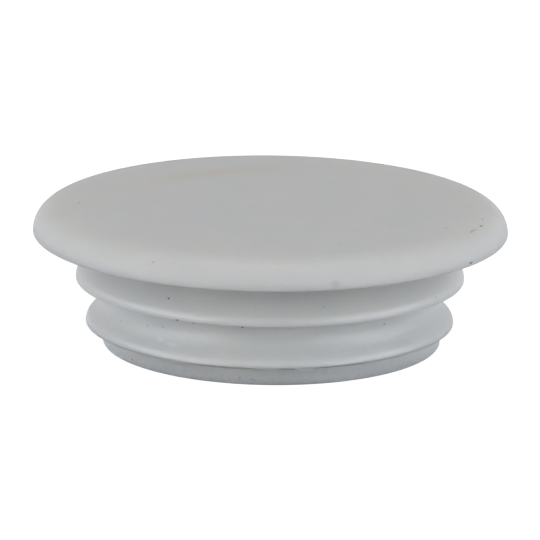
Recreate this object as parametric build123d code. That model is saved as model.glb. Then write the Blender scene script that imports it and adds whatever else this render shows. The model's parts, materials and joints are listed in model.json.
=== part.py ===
from build123d import *
import os
from math import cos, radians, sin, tan

# Press-in cover plug for a round hole in a panel, moulded in one piece.
# A low head with a rounded rim covers the edge of the hole, and two springy
# ribs on a hollow stem grip its wall. Millimetres, +Z up along the axis of the
# plug. The origin is the centre of the stem's open end, which it stands on.

# The hole that the plug closes, and how each part of the plug stands to it
hole_diameter = 35.0
head_overlap = 4.5            # reach of the head past the edge of the hole
upper_rib_squeeze = 0.52      # how far the upper rib is larger than the hole, on the radius
lower_rib_clearance = 0.48    # how far the lower rib is smaller than the hole, on the radius
stem_clearance = 1.82         # gap between the stem and the wall of the hole

# Heights along the axis
stem_length = 10.45           # open end to the underside of the head
lower_rib_height = 1.82       # open end to the lower rib's underside at its crest
rib_pitch = 4.28              # lower rib to upper rib

# Head: level crown, rounded rim, flat underside
head_thickness = 2.1          # plastic between the crown and the roof of the hollow
seat_bevel = 0.15             # lower edge of the rim, nearly sharp
rim_radius = 2.17             # round of the rim, from its widest circle up
rim_sweep = 75.0              # degrees turned by that round
shoulder_radius = 8.0         # easier curve that runs the rim into the crown

# Ribs: each a barb with a hollow upper flank, an upright land and a nearly level underside
rib_land_width = 0.52         # height of the upright land round the crest
rib_flank_angle = 42.0        # slope of the upper flank, in degrees from level
rib_flank_root_radius = 2.4   # long curve from the flank into the stem
rib_underside_angle = 12.0    # rise of the underside towards the crest, in degrees
rib_crest_bevel = 0.12        # upper edge of the land; its lower edge is left sharp by the mould

# Stem and the hollow inside it
stem_wall = 1.6               # at the open end
hollow_draft = 1.0            # degrees by which the hollow narrows upwards
hollow_corner_bevel = 1.0     # between the hollow's wall and its roof
stem_edge_bevel = 0.15        # both edges of the open end
stem_root_bevel = 0.5         # stiffens the corner between the stem and the head
gate_diameter = 1.8           # stub that the moulding gate leaves on the hollow's roof
gate_height = 0.3

hole_radius = hole_diameter / 2
head_radius = hole_radius + head_overlap
upper_rib_radius = hole_radius + upper_rib_squeeze
lower_rib_radius = hole_radius - lower_rib_clearance
stem_radius = hole_radius - stem_clearance
mouth_radius = stem_radius - stem_wall
wall_middle = stem_radius - stem_wall / 2

widest_height = stem_length + seat_bevel
rim_rise = rim_radius * sin(radians(rim_sweep))
shoulder_rise = shoulder_radius * (1 - sin(radians(rim_sweep)))
crown_height = widest_height + rim_rise + shoulder_rise
roof_height = crown_height - head_thickness


def head_section():
    """Half section of the head, with X as the radius and Y as the height."""
    with BuildSketch() as sketch:
        with BuildLine():
            bevel = Line((head_radius - seat_bevel, stem_length), (head_radius, widest_height))
            rim = JernArc(bevel @ 1, (0, 1), rim_radius, rim_sweep)
            shoulder = JernArc(rim @ 1, rim % 1, shoulder_radius, 90 - rim_sweep)
            Polyline(shoulder @ 1, (0, crown_height), (0, stem_length), bevel @ 0)
        make_face()
    return sketch.sketch


def stem_section():
    """Half section of the stem before it is hollowed; it splays out into the head."""
    root_radius = stem_radius + stem_root_bevel
    with BuildSketch() as sketch:
        with BuildLine():
            Polyline(
                (0, 0),
                (stem_radius, 0),
                (stem_radius, stem_length - stem_root_bevel),
                (root_radius, stem_length),
                (root_radius, widest_height),
                (0, widest_height),
                close=True,
            )
        make_face()
    return sketch.sketch


def rib_section(crest_radius, crest_height):
    """Half section of one rib, rooted in the middle of the stem's wall."""
    reach = crest_radius - stem_radius
    flank_slope = radians(rib_flank_angle)
    land_top = crest_height + rib_land_width
    flank_top = land_top + reach * tan(flank_slope)
    underside_root = crest_height - reach * tan(radians(rib_underside_angle))

    bevel_end = (
        crest_radius - rib_crest_bevel * cos(flank_slope),
        land_top + rib_crest_bevel * sin(flank_slope),
    )

    half_turn = (radians(90) - flank_slope) / 2
    longest_run = 0.9 * (reach / cos(flank_slope) - rib_crest_bevel)
    root_radius = min(rib_flank_root_radius, longest_run / tan(half_turn))
    root_top = flank_top + root_radius

    with BuildSketch() as sketch:
        with BuildLine():
            flank = FilletPolyline(
                bevel_end,
                (stem_radius, flank_top),
                (stem_radius, root_top),
                radius=root_radius,
            )
            Polyline(
                flank @ 1,
                (wall_middle, root_top),
                (wall_middle, underside_root),
                (stem_radius, underside_root),
                (crest_radius, crest_height),
                (crest_radius, land_top - rib_crest_bevel),
                flank @ 0,
            )
        make_face()
    return sketch.sketch


def hollow_section():
    """Half section of the hollow, which opens downwards and narrows towards its roof."""
    narrowing = tan(radians(hollow_draft))
    corner_height = roof_height - hollow_corner_bevel
    corner_radius = mouth_radius - corner_height * narrowing
    with BuildSketch() as sketch:
        with BuildLine():
            Polyline(
                (0, 0),
                (mouth_radius, 0),
                (corner_radius, corner_height),
                (corner_radius - hollow_corner_bevel, roof_height),
                (0, roof_height),
                close=True,
            )
        make_face()
    return sketch.sketch


def gate_section():
    """Half section of the gate's stub, which hangs from the hollow's roof at the axis."""
    return Pos(gate_diameter / 4, roof_height) * Rectangle(gate_diameter / 2, gate_height * 2)


def plug():
    """The whole plug: one half section turned about its axis."""
    section = head_section() + stem_section()
    section += rib_section(lower_rib_radius, lower_rib_height)
    section += rib_section(upper_rib_radius, lower_rib_height + rib_pitch)
    section -= hollow_section()
    section += gate_section()
    open_end = section.vertices().group_by(Axis.Y)[0]
    section = chamfer(open_end, stem_edge_bevel)
    return revolve(Plane.XZ * section, Axis.Z)


os.makedirs("parts", exist_ok=True)
export_step(plug(), "parts/plug.step")
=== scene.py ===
import json
from math import atan2, ceil, cos, degrees, hypot, pi, radians, sin, tan

import bpy
from bpy.props import FloatProperty, FloatVectorProperty, IntProperty, PointerProperty
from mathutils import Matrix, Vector, noise
from mathutils.bvhtree import BVHTree


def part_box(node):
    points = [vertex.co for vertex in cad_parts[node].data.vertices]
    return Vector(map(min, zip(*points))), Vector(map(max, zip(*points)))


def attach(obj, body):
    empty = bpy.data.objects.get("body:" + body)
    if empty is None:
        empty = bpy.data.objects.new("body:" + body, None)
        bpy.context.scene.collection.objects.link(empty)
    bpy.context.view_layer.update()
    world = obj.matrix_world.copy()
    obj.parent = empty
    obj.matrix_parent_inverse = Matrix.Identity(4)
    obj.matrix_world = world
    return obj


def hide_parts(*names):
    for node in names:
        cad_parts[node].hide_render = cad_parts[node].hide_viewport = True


bl_info = {
    "name": "Ribbed Hole Plug",
    "version": (1, 0, 0),
    "blender": (4, 5, 0),
    "location": "View3D > Sidebar > Hole Plug",
    "description": "Turns a moulded polyethylene cover plug for a round hole, and a pale studio for it",
    "category": "Add Mesh",
}

# A round white cover plug, moulded in one piece: a low head with a rounded rim on a
# short hollow stem, with two barbed ribs that grip the wall of a hole. It stands on
# the open end of its stem. Metres, +Z up, with the axis of the plug on the Z axis and
# the front of the plug towards -Y. Angles round the plug are measured from the front,
# positive towards +X.

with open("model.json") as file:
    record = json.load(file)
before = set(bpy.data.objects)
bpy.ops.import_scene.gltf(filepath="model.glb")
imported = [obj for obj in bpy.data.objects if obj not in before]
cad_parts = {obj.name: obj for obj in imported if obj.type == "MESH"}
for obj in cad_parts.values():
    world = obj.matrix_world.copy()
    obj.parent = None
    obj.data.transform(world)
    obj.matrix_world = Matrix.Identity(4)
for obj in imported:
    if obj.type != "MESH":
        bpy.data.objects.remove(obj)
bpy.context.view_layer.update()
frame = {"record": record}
mounts = {mount["name"]: mount for mount in frame["record"]["mounts"]}
plug_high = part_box("plug")[1]

MM = 0.001


def linear(hex_colour):
    """Linear red, green and blue of an sRGB hex colour."""
    channels = [int(hex_colour[i:i + 2], 16) / 255 for i in (1, 3, 5)]
    return [c / 12.92 if c <= 0.04045 else ((c + 0.055) / 1.055) ** 2.4 for c in channels]


# ---------------------------------------------------------------- sizes and colours


def length(label, description, default):
    """A length that a user may change, in metres."""
    return FloatProperty(name=label, description=description, default=default, min=0.0, unit="LENGTH")


def turn(label, description, default):
    """An angle that a user may change, given here in degrees."""
    return FloatProperty(name=label, description=description, default=radians(default), subtype="ANGLE")


def power(label, description, default):
    """The power of a light that a user may change, in watts."""
    return FloatProperty(name=label, description=description, default=default, min=0.0, unit="POWER")


def colour(label, description, hex_colour):
    """A colour that a user may change."""
    return FloatVectorProperty(
        name=label, description=description, default=linear(hex_colour), min=0.0, max=1.0, subtype="COLOR"
    )


pin = mounts["stem_rib"]
seat_height = mounts["head_seat"]["pos_m"][2]
pin_length = pin["dims"]["length_mm"] * MM


class PlugShape(bpy.types.PropertyGroup):
    """Sizes of the moulded plug."""

    head_radius: length("Head radius", "Widest radius of the head", plug_high.x)
    crown_height: length("Crown height", "Height of the level crown", plug_high.z)
    seat_height: length("Seat height", "Height of the flat underside of the head", seat_height)
    rim_radius: length("Rim round", "Radius of the rounded rim", 2.17 * MM)
    rim_turn: turn("Rim turn", "Angle turned by the round of the rim", 75)
    edge_round: length("Edge round", "Radius of the small moulded edges", 0.15 * MM)

    stem_radius: length("Stem radius", "Outer radius of the stem", 15.68 * MM)
    stem_wall: length("Stem wall", "Thickness of the stem at its open end", 1.6 * MM)
    root_splay: length("Root splay", "How far the stem splays out under the head", 0.5 * MM)
    head_thickness: length("Head thickness", "Plastic between the crown and the hollow", 2.1 * MM)
    hollow_draft: turn("Hollow draft", "Angle by which the hollow narrows upwards", 1)
    hollow_corner: length("Hollow corner", "Round between the hollow's wall and roof", 1.3 * MM)
    gate_radius: length("Gate radius", "Radius of the gate stub on the hollow's roof", 0.9 * MM)
    gate_height: length("Gate height", "Height of the gate stub", 0.3 * MM)

    upper_rib_radius: length("Upper rib radius", "Crest radius of the upper rib", pin["dims"]["r_mm"] * MM)
    upper_rib_height: length("Upper rib height", "Lower edge of its crest", pin["pos_m"][2] - pin_length / 2)
    lower_rib_radius: length("Lower rib radius", "Crest radius of the lower rib", 17.08 * MM)
    lower_rib_height: length("Lower rib height", "Lower edge of its crest", 1.8 * MM)
    land_width: length("Land width", "Height of the upright land round a crest", 0.62 * MM)
    crest_round: length("Crest round", "Radius between a land and its flank", 1.0 * MM)
    flank_slope: turn("Flank slope", "Slope of a rib's upper flank from level", 42)
    flank_root: length("Flank root", "Radius of the curve from a flank into the stem", 2.4 * MM)
    underside_slope: turn("Underside slope", "Rise of a rib's underside towards its crest", 12)

    flash_thickness: length("Flash thickness", "Thickness of the film left by the mould's joint", 0.16 * MM)
    flash_depth: length("Flash depth", "How far that film hangs from the lower rib", 0.28 * MM)
    collar_offset: length("Collar offset", "How far the collar is off centre", 0.18 * MM)
    collar_top: length("Collar top", "Height up to which the collar is moved in full", 1.1 * MM)
    collar_blend: length("Collar blend", "Height above it in which the move fades out", 0.4 * MM)
    segments: IntProperty(name="Segments", description="Faces round the plug", default=600, min=64)


class PlugFinish(bpy.types.PropertyGroup):
    """Colours of the moulded plug."""

    body: colour("Body", "Milky white polyethylene", "#CECECD")
    cloud: colour("Cloud", "Slightly cooler drifts in the plastic", "#C6C9CC")
    # Pale colour painted on the film as painted glow of light through it, and on the lower rib's flank as
    # painted highlights
    film_glow_and_sheen: colour("Flash", "Thin film at the mould's joint, and rubbed places", "#D6D7D8")
    stain: colour("Stain", "Faint warm stain on the crown", "#C4BDA6")
    # Also painted at half strength in the dent's crescent, as painted shade in the dent
    speck_and_dent_shade: colour("Speck", "Dark specks moulded into the plastic", "#4A4742")
    # Grey painted shade on the collar towards its foot
    foot_shade: colour("Scuff", "Grey rub marks from handling", "#97979A")


class StudioSettings(bpy.types.PropertyGroup):
    """Sizes of the studio, and the strength of its lights."""

    floor_size: length("Floor size", "Side of the square floor", 6.0)
    camera_distance: length("Camera distance", "From the camera to the middle of the rim", 0.559)
    camera_height_angle: turn("Camera angle", "How far the camera looks down", 14.37)
    camera_roll: turn("Camera roll", "Turn of the camera about its own axis", 0.56)
    aim_height: length("Aim height", "Height on the axis at which the camera points", 6.7 * MM)
    lens: FloatProperty(
        name="Lens", description="Focal length on a 36 mm sensor", default=402.0, unit="CAMERA"
    )
    light_distance: length("Light distance", "From each light to the foot of the plug", 0.8)
    window_power: power("Window lights", "Power of the left low light", 2.5)
    side_power: power("Side lights", "Power of the left side light", 1.9)
    front_power: power("Front light", "Power of the light in front", 0.5)
    back_power: power("Back light", "Power of the light behind", 1.65)
    ambient: FloatProperty(name="Ambient", description="Strength of the light from all round", default=0.02)


# ---------------------------------------------------------------- modelling helpers


def clear_selection():
    """Deselect every object, so that an operator acts only on the new piece."""
    if bpy.context.object and bpy.context.object.mode != "OBJECT":
        bpy.ops.object.mode_set(mode="OBJECT")
    bpy.ops.object.select_all(action="DESELECT")


def rounded(corners):
    """Points along an outline given as (radius, height, round) corners, with each round as a true arc."""
    points = [Vector(corners[0][:2])]
    for i, (r, z, round_radius) in enumerate(corners[1:-1], start=1):
        corner = Vector((r, z))
        if round_radius == 0:
            points.append(corner)
            continue
        back = (Vector(corners[i - 1][:2]) - corner).normalized()
        ahead = (Vector(corners[i + 1][:2]) - corner).normalized()
        turned = pi - back.angle(ahead)
        reach = round_radius * tan(turned / 2)
        middle = corner + (back + ahead).normalized() * round_radius / cos(turned / 2)
        spoke = corner + back * reach - middle
        towards = corner + ahead * reach - middle
        handed = 1 if spoke.x * towards.y - spoke.y * towards.x > 0 else -1
        steps = ceil(degrees(turned) / (15 if round_radius < 0.5 * MM else 5))
        for k in range(steps + 1):
            angle = handed * turned * k / steps
            across = spoke.x * cos(angle) - spoke.y * sin(angle)
            along = spoke.x * sin(angle) + spoke.y * cos(angle)
            points.append(middle + Vector((across, along)))
    points.append(Vector(corners[-1][:2]))
    return points


def turned_piece(name, outline, segments):
    """A closed piece turned about the Z axis from an outline that starts and ends on the axis."""
    clear_selection()
    start = outline[0]
    bpy.ops.mesh.primitive_circle_add(vertices=3, radius=0.1 * MM, location=(start.x, 0, start.y))
    piece = bpy.context.object
    piece.name = name
    bpy.ops.object.mode_set(mode="EDIT")
    bpy.ops.mesh.merge(type="CENTER")
    for here, there in zip(outline, outline[1:]):
        step = (there.x - here.x, 0, there.y - here.y)
        bpy.ops.mesh.extrude_region_move(TRANSFORM_OT_translate={"value": step})
    bpy.ops.mesh.select_all(action="SELECT")
    bpy.ops.mesh.spin(steps=segments, angle=2 * pi, center=(0, 0, 0), axis=(0, 0, 1))
    bpy.ops.mesh.select_all(action="SELECT")
    bpy.ops.mesh.remove_doubles(threshold=0.001 * MM)
    bpy.ops.mesh.normals_make_consistent(inside=False)
    bpy.ops.object.mode_set(mode="OBJECT")
    bpy.ops.object.transform_apply(location=True, rotation=True, scale=True)
    return piece


def node(tree, kind, inputs=None, **settings):
    """Add one node with its settings, and give each input a value or a link from another node's output."""
    made = tree.nodes.new(kind)
    for setting, value in settings.items():
        setattr(made, setting, value)
    for socket, value in (inputs or {}).items():
        if isinstance(value, bpy.types.NodeSocket):
            tree.links.new(value, made.inputs[socket])
        else:
            made.inputs[socket].default_value = value
    return made


# ---------------------------------------------------------------- the plug


def rib_corners(shape, radius, height):
    """Outline of one rib, from under it up to where its flank has run into the stem."""
    reach = radius - shape.stem_radius
    land_top = height + shape.land_width
    return [
        (shape.stem_radius, height - reach * tan(shape.underside_slope), 0.1 * MM),
        (radius, height, 0.02 * MM),
        (radius, land_top, shape.crest_round),
        (shape.stem_radius, land_top + reach * tan(shape.flank_slope), shape.flank_root),
    ]


def film_edges(shape):
    """Heights at which the lower rib's land ends, and to which the film under it hangs at its deepest."""
    land_edge = shape.lower_rib_height + 0.8 * shape.flash_depth
    return land_edge, land_edge - shape.flash_depth


def lower_rib_corners(shape):
    """The lower rib, whose land ends in a thin film that hangs from its lower edge."""
    root, flat_edge, top_edge, flank_foot = rib_corners(shape, shape.lower_rib_radius, shape.lower_rib_height)
    land_edge, film_tip = film_edges(shape)
    outside = shape.lower_rib_radius
    inside = outside - shape.flash_thickness
    return [
        root,
        (inside, land_edge - shape.flash_thickness * tan(shape.underside_slope), 0),
        (inside + shape.flash_thickness / 3, film_tip, 0),
        (outside - shape.flash_thickness / 4, film_tip, 0),
        (outside, film_tip + shape.flash_thickness / 4, 0),
        (outside, land_edge, 0),
        top_edge,
        flank_foot,
    ]


def head_corners(shape):
    """The head, from where the stem splays into it, round its rim, to the middle of the crown."""
    widest = shape.seat_height + shape.edge_round
    rim_top = widest + shape.rim_radius * sin(shape.rim_turn)
    shoulder = (shape.crown_height - rim_top) / (1 - sin(shape.rim_turn))
    run = shoulder * tan((pi / 2 - shape.rim_turn) / 2)
    crown_edge = shape.head_radius - shape.rim_radius * (1 - cos(shape.rim_turn)) - run * sin(shape.rim_turn)
    return [
        (shape.stem_radius, shape.seat_height - shape.root_splay, 0.2 * MM),
        (shape.stem_radius + shape.root_splay, shape.seat_height, 0.2 * MM),
        (shape.head_radius, shape.seat_height, shape.edge_round),
        (shape.head_radius, widest + shape.rim_radius * tan(shape.rim_turn / 2), shape.rim_radius),
        (crown_edge, shape.crown_height, shoulder),
        (0, shape.crown_height, 0),
    ]


def hollow_corners(shape):
    """The hollow, from the gate stub in the middle of its roof, down its wall and round the open end."""
    roof = shape.crown_height - shape.head_thickness
    mouth = shape.stem_radius - shape.stem_wall
    return [
        (0, roof - shape.gate_height, 0),
        (shape.gate_radius, roof - shape.gate_height, 0.08 * MM),
        (shape.gate_radius, roof, 0.1 * MM),
        (mouth - roof * tan(shape.hollow_draft), roof, shape.hollow_corner),
        (mouth, 0, shape.edge_round),
        (shape.stem_radius, 0, shape.edge_round),
    ]


# Where the film under the lower rib hangs low: start, deepest and end angle in degrees
# from the front, and the share of the full depth. The first is torn off sharply at its start.
FILM_DROPS = (
    (-39.6, -39.0, -20.0, 0.8),
    (-8.0, 0.5, 5.5, 0.4),
    (6.5, 11.0, 15.5, 1.0),
    (36.0, 38.5, 42.0, 0.45),
)


def eased(share):
    """A share from 0 to 1 with a soft start and end."""
    share = min(max(share, 0), 1)
    return share * share * (3 - 2 * share)


def film_depth(angle):
    """Share of its full depth to which the film hangs at an angle in degrees from the front."""
    ragged = noise.noise(Vector((cos(radians(angle)), sin(radians(angle)), 0)) * 14)
    depth = 0.2 + 0.08 * ragged
    for start, deepest, end, share in FILM_DROPS:
        if start < angle <= deepest:
            depth += share * eased((angle - start) / (deepest - start))
        elif deepest < angle < end:
            depth += share * eased((end - angle) / (end - deepest))
    return min(depth, 1)


def tear_film(piece, shape):
    """Lift the film's tip to the ragged depth that it has at each angle."""
    land_edge, film_tip = film_edges(shape)
    tip_top = film_tip + shape.flash_thickness / 3
    inside = shape.lower_rib_radius - shape.flash_thickness
    for vertex in piece.data.vertices:
        x, y, z = vertex.co
        if z < tip_top and hypot(x, y) > inside:
            angle = degrees(atan2(x, -y))
            share_down = (land_edge - z) / (land_edge - film_tip)
            vertex.co.z = land_edge - share_down * film_depth(angle) * shape.flash_depth


def offset_collar(piece, shape):
    """Set the collar at the open end of the stem a little off centre, with a smooth start above it."""
    for vertex in piece.data.vertices:
        share = 1 - eased((vertex.co.z - shape.collar_top) / shape.collar_blend)
        vertex.co.x += share * shape.collar_offset


class PLUG_OT_moulded_plug(bpy.types.Operator):
    """Turn the moulded plug, with the film that its mould left on the lower rib"""

    bl_idname = "plug.moulded_plug"
    bl_label = "Moulded Plug"

    def execute(self, context):
        shape = context.scene.plug_shape
        corners = hollow_corners(shape)
        corners += lower_rib_corners(shape)
        corners += rib_corners(shape, shape.upper_rib_radius, shape.upper_rib_height)
        corners += head_corners(shape)
        outline = rounded(corners)
        piece = turned_piece("moulded_plug", outline, shape.segments)
        tear_film(piece, shape)
        offset_collar(piece, shape)
        bpy.ops.object.shade_smooth_by_angle(angle=radians(40))
        piece.data.materials.clear()
        surface = BVHTree.FromObject(piece, context.evaluated_depsgraph_get())
        piece.data.materials.append(moulded_polyethylene(shape, context.scene.plug_finish, surface))
        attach(piece, "root")
        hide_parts("plug")
        return {"FINISHED"}


# ---------------------------------------------------------------- finish


# Dark marks in and on the plastic: angle from the front in degrees, radius and height in
# millimetres, half its length round the plug and half its width in millimetres, tilt in
# degrees, and how dark it is.
MARKS = (
    (-32.7, 16.9, 7.65, 0.15, 0.15, 0, 1.0),
    (-27.6, 18.0, 6.1, 0.26, 0.14, 0, 1.0),
    (-26.0, 15.7, 5.35, 0.14, 0.12, 0, 0.8),
    (-9.0, 15.7, 5.4, 0.11, 0.13, 0, 0.9),
    (-45.0, 15.7, 4.25, 0.13, 0.11, 0, 0.5),
    (-38.0, 15.7, 4.5, 0.14, 0.11, 0, 0.5),
    (-59.5, 15.8, 3.85, 0.13, 0.11, 0, 0.4),
    (41.8, 15.7, 4.8, 0.14, 0.12, 0, 0.7),
    (16.7, 17.0, 7.55, 0.12, 0.11, 0, 0.4),
    (58.0, 17.9, 6.75, 0.16, 0.1, 0, 0.5),
    (-53.7, 15.7, 0.5, 0.16, 0.12, 0, 0.8),
    (-29.5, 21.3, 12.2, 0.11, 0.11, 0, 0.5),
    (-90.0, 17.7, 12.97, 0.35, 0.14, 0, 0.35),
    (63.0, 18.0, 12.97, 0.3, 0.15, 0, 0.35),
    (72.0, 20.3, 12.72, 0.5, 0.16, 0, 0.65),
    (78.0, 19.9, 12.81, 0.4, 0.12, 0, 0.45),
    (40.0, 12.0, 12.97, 0.3, 0.3, 0, 0.15),
    (24.0, 15.5, 12.97, 0.25, 0.25, 0, 0.15),
    (56.0, 22.0, 10.8, 0.36, 0.13, 0, 0.8),
    (15.5, 22.0, 11.05, 0.6, 0.55, 0, 0.14),
    (-9.7, 15.7, 0.62, 0.08, 0.38, 0, 0.35),
    (-5.2, 15.7, 0.5, 0.42, 0.09, 20, 0.35),
)

# Small places on the lower rib's flank, painted paler as painted highlights where the flank shines, given in
# the same way
PAINTED_SHINE_PLACES = (
    (-38.0, 16.1, 3.4, 0.6, 0.3, 15, 0.7),
    (-33.0, 16.2, 3.15, 0.9, 0.22, 8, 0.9),
    (33.8, 16.2, 3.2, 0.35, 0.12, 0, 0.7),
)


def mark(tree, place, surface, angle, radius, height, half_length, half_height, tilt, strength):
    """Strength of an oval mark on the plug's surface, which fades out to 0 towards the edge of the oval."""
    around = radians(angle)
    centre = surface.find_nearest(Vector((radius * sin(around), -radius * cos(around), height)) * MM)[0]
    inside = node(
        tree, "ShaderNodeMapping",
        {
            "Vector": place,
            "Location": centre,
            "Rotation": (0, radians(tilt), around),
            "Scale": Vector((half_length, half_height, half_height)) * MM,
        },
        vector_type="TEXTURE",
    )
    reach = node(tree, "ShaderNodeVectorMath", {0: inside.outputs["Vector"]}, operation="LENGTH")
    return node(
        tree, "ShaderNodeMapRange",
        {"Value": reach.outputs["Value"], "From Min": 1.0, "From Max": 0.3, "To Max": strength},
        interpolation_type="SMOOTHSTEP",
    ).outputs["Result"]


def strongest_mark(tree, place, surface, marks):
    """Strength of whichever of several oval marks is the strongest at each point."""
    strongest = mark(tree, place, surface, *marks[0])
    for one in marks[1:]:
        this = mark(tree, place, surface, *one)
        strongest = node(tree, "ShaderNodeMath", {0: strongest, 1: this}, operation="MAXIMUM").outputs[0]
    return strongest


def moulded_polyethylene(shape, finish, surface):
    """Low-density polyethylene with white pigment, injection moulded.

    To the eye it is a milky, faintly translucent white, which carries a little warm light into
    its hollows. The face of the head came from a spark-eroded mould and is matt. The stem and
    its ribs came from a turned mould and are satin, and the lower crest shines in patches.
    """
    material = bpy.data.materials.new("moulded_polyethylene")
    material.use_nodes = True
    tree = material.node_tree
    tree.nodes.clear()
    place = node(tree, "ShaderNodeTexCoord").outputs["Object"]
    across = node(tree, "ShaderNodeSeparateXYZ", {"Vector": place}).outputs
    height = across["Z"]
    flat = node(tree, "ShaderNodeCombineXYZ", {"X": across["X"], "Y": across["Y"]}).outputs[0]
    radius = node(tree, "ShaderNodeVectorMath", {0: flat}, operation="LENGTH").outputs["Value"]

    # Texture of the spark-eroded mould, really about 0.1 mm and drawn at 0.3 mm so that it shows
    grain_size = 0.3 * MM
    grain = node(
        tree, "ShaderNodeTexNoise",
        {"Vector": place, "Scale": 1 / grain_size, "Detail": 3.0, "Roughness": 0.6},
    ).outputs[0]

    # The pigment is not stirred in quite evenly: drifts about 7 mm across, and a fine mottle
    drift_size = 7 * MM
    drift = node(
        tree, "ShaderNodeTexNoise", {"Vector": place, "Scale": 1 / drift_size, "Detail": 2.0}
    ).outputs[0]
    mottle = node(tree, "ShaderNodeMath", {0: grain, 1: drift}, operation="ADD").outputs[0]
    cloudy = node(
        tree, "ShaderNodeMapRange", {"Value": mottle, "From Min": 0.6, "From Max": 1.4}
    ).outputs["Result"]
    drifted = node(
        tree, "ShaderNodeMix", {0: cloudy, 6: (*finish.body, 1), 7: (*finish.cloud, 1)}, data_type="RGBA"
    ).outputs[2]

    # Faint warm stain in an arc on the far part of the crown
    stain_radius = 13.5 * MM
    stain_half_width = 2.6 * MM
    stain_middle = (-5.5 * MM, 12.5 * MM, shape.crown_height)
    ring = node(tree, "ShaderNodeMath", {0: radius, 1: stain_radius}, operation="SUBTRACT").outputs[0]
    ring_width = node(tree, "ShaderNodeMath", {0: ring}, operation="ABSOLUTE").outputs[0]
    arc = node(
        tree, "ShaderNodeMapRange",
        {"Value": ring_width, "From Min": stain_half_width, "From Max": 0.0}, interpolation_type="SMOOTHSTEP",
    ).outputs["Result"]
    from_middle = node(
        tree, "ShaderNodeVectorMath", {0: place, 1: stain_middle}, operation="DISTANCE"
    ).outputs["Value"]
    near = node(
        tree, "ShaderNodeMapRange",
        {"Value": from_middle, "From Min": 11 * MM, "From Max": 1 * MM, "To Max": 0.4},
        interpolation_type="SMOOTHSTEP",
    ).outputs["Result"]
    stain = node(tree, "ShaderNodeMath", {0: arc, 1: near}, operation="MULTIPLY").outputs[0]
    stained = node(
        tree, "ShaderNodeMix", {0: stain, 6: drifted, 7: (*finish.stain, 1)}, data_type="RGBA"
    ).outputs[2]

    # The collar below the ribs is painted greyer towards its foot, in a grainy pattern, as painted shade near
    # the floor
    low = node(
        tree, "ShaderNodeMapRange",
        {"Value": height, "From Min": shape.lower_rib_height, "From Max": 0.9 * MM, "To Max": 0.3},
    ).outputs["Result"]
    foot_shade_mask = node(tree, "ShaderNodeMath", {0: low, 1: grain}, operation="MULTIPLY").outputs[0]
    foot_shade_painted = node(
        tree, "ShaderNodeMix", {0: foot_shade_mask, 6: stained, 7: (*finish.foot_shade, 1)}, data_type="RGBA"
    ).outputs[2]

    # The film at the mould's joint is thin enough to let light through, and is painted paler as painted glow
    # of that light
    film_root = shape.lower_rib_radius - 0.3 * MM
    outer = node(
        tree, "ShaderNodeMapRange",
        {"Value": radius, "From Min": film_root, "From Max": film_root + 0.1 * MM},
    ).outputs["Result"]
    joint = node(
        tree, "ShaderNodeMath", {0: height, 1: shape.lower_rib_height}, operation="SUBTRACT"
    ).outputs[0]
    joint_width = node(tree, "ShaderNodeMath", {0: joint}, operation="ABSOLUTE").outputs[0]
    by_joint = node(
        tree, "ShaderNodeMapRange", {"Value": joint_width, "From Min": 0.3 * MM, "From Max": 0.15 * MM}
    ).outputs["Result"]
    film = node(tree, "ShaderNodeMath", {0: outer, 1: by_joint}, operation="MULTIPLY").outputs[0]
    film_glow_painted = node(
        tree, "ShaderNodeMix", {0: film, 6: foot_shade_painted, 7: (*finish.film_glow_and_sheen, 1)}, data_type="RGBA"
    ).outputs[2]

    # Burnt specks and small marks, with slightly ragged edges
    ragged = node(
        tree, "ShaderNodeTexNoise", {"Vector": place, "Scale": 1 / (0.15 * MM), "Detail": 1.0}
    ).outputs["Color"]
    shifted = node(
        tree, "ShaderNodeVectorMath", {0: ragged, 1: (0.12 * MM,) * 3, 2: place}, operation="MULTIPLY_ADD"
    ).outputs["Vector"]
    torn_place = node(
        tree, "ShaderNodeVectorMath", {0: shifted, 1: (0.06 * MM,) * 3}, operation="SUBTRACT"
    ).outputs["Vector"]
    marks = strongest_mark(tree, torn_place, surface, MARKS)

    # A dent like a fingernail's on the right of the head: an oval less a second oval beside it
    dent_oval = mark(tree, place, surface, 66, 20.35, 12.7, 1.0, 0.35, 0, 1.0)
    dent_rest = mark(tree, place, surface, 66, 20.5, 12.67, 1.0, 0.35, 0, 1.0)
    dent = node(
        tree, "ShaderNodeMath", {0: dent_oval, 1: dent_rest}, operation="SUBTRACT", use_clamp=True
    ).outputs[0]
    # The dent's crescent is painted dark at half strength in the speck colour, as painted shade in the dent,
    # added to the specks and marks
    dent_shade_and_marks = node(tree, "ShaderNodeMath", {0: dent, 1: 0.5, 2: marks}, operation="MULTIPLY_ADD").outputs[0]

    # The shining places are painted in the pale colour, as painted highlights
    shining = strongest_mark(tree, torn_place, surface, PAINTED_SHINE_PLACES)
    sheen_painted = node(
        tree, "ShaderNodeMix", {0: shining, 6: film_glow_painted, 7: (*finish.film_glow_and_sheen, 1)}, data_type="RGBA"
    ).outputs[2]
    tint = node(
        tree, "ShaderNodeMix", {0: dent_shade_and_marks, 6: sheen_painted, 7: (*finish.speck_and_dent_shade, 1)}, data_type="RGBA"
    ).outputs[2]

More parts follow.
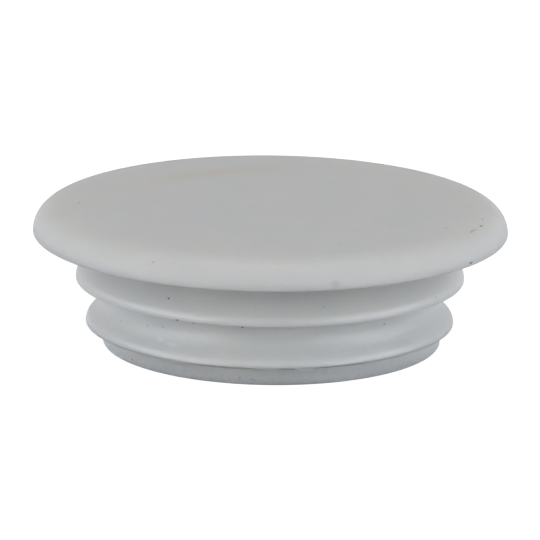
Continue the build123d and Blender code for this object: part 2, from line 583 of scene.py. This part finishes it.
    # Matt face, satin stem, and a lower crest that shines in patches a few millimetres long
    face = node(
        tree, "ShaderNodeMapRange",
        {"Value": height, "From Min": shape.seat_height - 0.1 * MM, "From Max": shape.seat_height + 0.1 * MM},
    ).outputs["Result"]
    satin = node(
        tree, "ShaderNodeMapRange",
        {"Value": grain, "From Min": 0.3, "From Max": 0.7, "To Min": 0.38, "To Max": 0.46},
    ).outputs["Result"]
    crest_height = shape.lower_rib_height + shape.land_width
    crest = node(tree, "ShaderNodeMath", {0: height, 1: crest_height}, operation="SUBTRACT").outputs[0]
    crest_width = node(tree, "ShaderNodeMath", {0: crest}, operation="ABSOLUTE").outputs[0]
    by_crest = node(
        tree, "ShaderNodeMapRange", {"Value": crest_width, "From Min": 0.3 * MM, "From Max": 0.1 * MM}
    ).outputs["Result"]
    patch_size = 3 * MM
    patches = node(
        tree, "ShaderNodeTexNoise",
        {"Vector": place, "Scale": 1 / patch_size, "Detail": 3.0, "Roughness": 0.6},
    ).outputs[0]
    polished = node(
        tree, "ShaderNodeMapRange", {"Value": patches, "From Min": 0.42, "From Max": 0.55, "To Max": 0.12}
    ).outputs["Result"]
    shine = node(tree, "ShaderNodeMath", {0: by_crest, 1: polished}, operation="MULTIPLY").outputs[0]
    dull = node(tree, "ShaderNodeMath", {0: face, 1: 0.2, 2: satin}, operation="MULTIPLY_ADD").outputs[0]
    roughness = node(tree, "ShaderNodeMath", {0: dull, 1: shine}, operation="SUBTRACT").outputs[0]

    # The surface sinks and swells a little as the plastic cools, in waves about 4 mm across
    wave_size = 4 * MM
    waves = node(
        tree, "ShaderNodeTexNoise", {"Vector": place, "Scale": 1 / wave_size, "Detail": 2.0}
    ).outputs[0]
    uneven = node(tree, "ShaderNodeBump", {"Height": waves, "Strength": 0.5, "Distance": 0.06 * MM})
    textured = node(
        tree, "ShaderNodeBump",
        {"Height": grain, "Strength": 0.6, "Distance": 0.02 * MM, "Normal": uneven.outputs["Normal"]},
    )
    dented = node(
        tree, "ShaderNodeBump",
        {"Height": dent, "Strength": 0.6, "Distance": 0.1 * MM, "Normal": textured.outputs["Normal"]},
        invert=True,
    )
    skin = node(
        tree, "ShaderNodeBsdfPrincipled",
        {
            "Base Color": tint,
            "Roughness": roughness,
            "IOR": 1.51,
            "Subsurface Weight": 1.0,
            "Subsurface Radius": (1.0, 0.88, 0.74),
            "Subsurface Scale": 4.5 * MM,
            "Normal": dented.outputs["Normal"],
        },
    )
    node(tree, "ShaderNodeOutputMaterial", {"Surface": skin.outputs["BSDF"]})
    return material


# ---------------------------------------------------------------- studio


def seen_directly(tree):
    """1 for rays from the camera, a gloss or a clear body, and 0 for those that carry light to a surface."""
    path = node(tree, "ShaderNodeLightPath").outputs
    gloss = node(
        tree, "ShaderNodeMath", {0: path["Is Camera Ray"], 1: path["Is Glossy Ray"]}, operation="MAXIMUM"
    )
    clear = node(
        tree, "ShaderNodeMath", {0: gloss.outputs[0], 1: path["Is Transmission Ray"]}, operation="MAXIMUM"
    )
    return clear.outputs[0]


def pale_floor_paint():
    """Matt white paint on board: even and shadow-keeping, and lifted to plain white where it is looked at."""
    material = bpy.data.materials.new("matt_white_paint")
    material.use_nodes = True
    tree = material.node_tree
    tree.nodes.clear()
    paint = node(tree, "ShaderNodeBsdfDiffuse", {"Color": (*linear("#A8A8A8"), 1)})
    lift = node(tree, "ShaderNodeEmission", {"Color": (1, 1, 1, 1), "Strength": 0.88})
    unlit = node(tree, "ShaderNodeEmission", {"Color": (0, 0, 0, 1), "Strength": 0.0})
    shown = node(
        tree, "ShaderNodeMixShader", {0: seen_directly(tree), 1: unlit.outputs[0], 2: lift.outputs[0]}
    )
    both = node(tree, "ShaderNodeAddShader", {0: paint.outputs[0], 1: shown.outputs[0]})
    node(tree, "ShaderNodeOutputMaterial", {"Surface": both.outputs[0]})
    return material


def white_surround(ambient):
    """Even, slightly warm light from all round, which looks plain white itself."""
    world = bpy.data.worlds.new("white_surround")
    world.use_nodes = True
    tree = world.node_tree
    tree.nodes.clear()
    light = node(tree, "ShaderNodeBackground", {"Color": (*linear("#FFFDFA"), 1), "Strength": ambient})
    white = node(tree, "ShaderNodeBackground", {"Color": (1, 1, 1, 1), "Strength": 1.0})
    mix = node(
        tree, "ShaderNodeMixShader", {0: seen_directly(tree), 1: light.outputs[0], 2: white.outputs[0]}
    )
    node(tree, "ShaderNodeOutputWorld", {"Surface": mix.outputs[0]})
    return world


def soft_light(name, around, above, distance, wide, high, watts, hex_colour):
    """A soft light that faces the plug, placed by its angles round the plug and above the floor."""
    clear_selection()
    level = cos(radians(above))
    out = Vector((sin(radians(around)) * level, -cos(radians(around)) * level, sin(radians(above))))
    facing = out.to_track_quat("Z", "Y").to_euler()
    bpy.ops.object.light_add(type="AREA", location=out * distance, rotation=facing)
    light = bpy.context.object
    light.name = name
    light.data.shape = "RECTANGLE"
    light.data.size = wide
    light.data.size_y = high
    light.data.energy = watts
    light.data.color = linear(hex_colour)


class PLUG_OT_studio(bpy.types.Operator):
    """Add the pale floor, the soft lights and the camera"""

    bl_idname = "plug.studio"
    bl_label = "Studio"

    def execute(self, context):
        studio = context.scene.plug_studio
        shape = context.scene.plug_shape

        clear_selection()
        bpy.ops.mesh.primitive_plane_add(size=studio.floor_size)
        floor = context.object
        floor.name = "floor"
        floor.data.materials.append(pale_floor_paint())

        far = studio.light_distance
        soft_light("left_window", -47, 11, far, 0.4, 0.3, studio.window_power, "#FCFCF9")
        soft_light("right_window", 47, 11, far, 0.4, 0.3, 0.85 * studio.window_power, "#FCFCF9")
        soft_light("left_light", -80, 20, far, 0.4, 0.45, studio.side_power, "#F4F8FF")
        soft_light("right_light", 80, 20, far, 0.4, 0.45, 1.25 * studio.side_power, "#F2F7FF")
        soft_light("front_light", -10, 44, far, 0.4, 0.4, studio.front_power, "#F4F8FF")
        soft_light("back_light", 180, 66, far, 0.4, 0.4, studio.back_power, "#FFF8F0")
        context.scene.world = white_surround(studio.ambient)

        pivot = Vector((0, 0, shape.seat_height + shape.edge_round))
        down = studio.camera_height_angle
        place = pivot + studio.camera_distance * Vector((0, -cos(down), sin(down)))
        look = place - Vector((0, 0, studio.aim_height))
        facing = look.to_track_quat("Z", "Y").to_euler()
        clear_selection()
        bpy.ops.object.camera_add(location=place, rotation=facing)
        camera = context.object
        camera.rotation_euler.rotate_axis("Z", studio.camera_roll)
        camera.data.sensor_width = 36.0
        camera.data.lens = studio.lens
        camera.data.clip_start = 0.01
        context.scene.camera = camera
        context.scene.view_settings.view_transform = "Standard"
        return {"FINISHED"}


# ---------------------------------------------------------------- add-on


class PLUG_PT_panel(bpy.types.Panel):
    """Lists the pieces of the hole plug"""

    bl_idname = "PLUG_PT_panel"
    bl_label = "Hole Plug"
    bl_space_type = "VIEW_3D"
    bl_region_type = "UI"
    bl_category = "Hole Plug"

    def draw(self, context):
        scene = context.scene
        for group in (scene.plug_shape, scene.plug_finish, scene.plug_studio):
            for name in group.bl_rna.properties.keys():
                if name not in ("name", "rna_type"):
                    self.layout.prop(group, name)
        self.layout.operator(PLUG_OT_moulded_plug.bl_idname)
        self.layout.operator(PLUG_OT_studio.bl_idname)


CLASSES = (PlugShape, PlugFinish, StudioSettings, PLUG_OT_moulded_plug, PLUG_OT_studio, PLUG_PT_panel)


def register():
    for cls in CLASSES:
        bpy.utils.register_class(cls)
    bpy.types.Scene.plug_shape = PointerProperty(type=PlugShape)
    bpy.types.Scene.plug_finish = PointerProperty(type=PlugFinish)
    bpy.types.Scene.plug_studio = PointerProperty(type=StudioSettings)


def unregister():
    del bpy.types.Scene.plug_studio
    del bpy.types.Scene.plug_finish
    del bpy.types.Scene.plug_shape
    for cls in reversed(CLASSES):
        bpy.utils.unregister_class(cls)


def main():
    """Build the plug and its studio."""
    register()
    bpy.ops.plug.moulded_plug()
    bpy.ops.plug.studio()


if __name__ == "__main__":
    main()
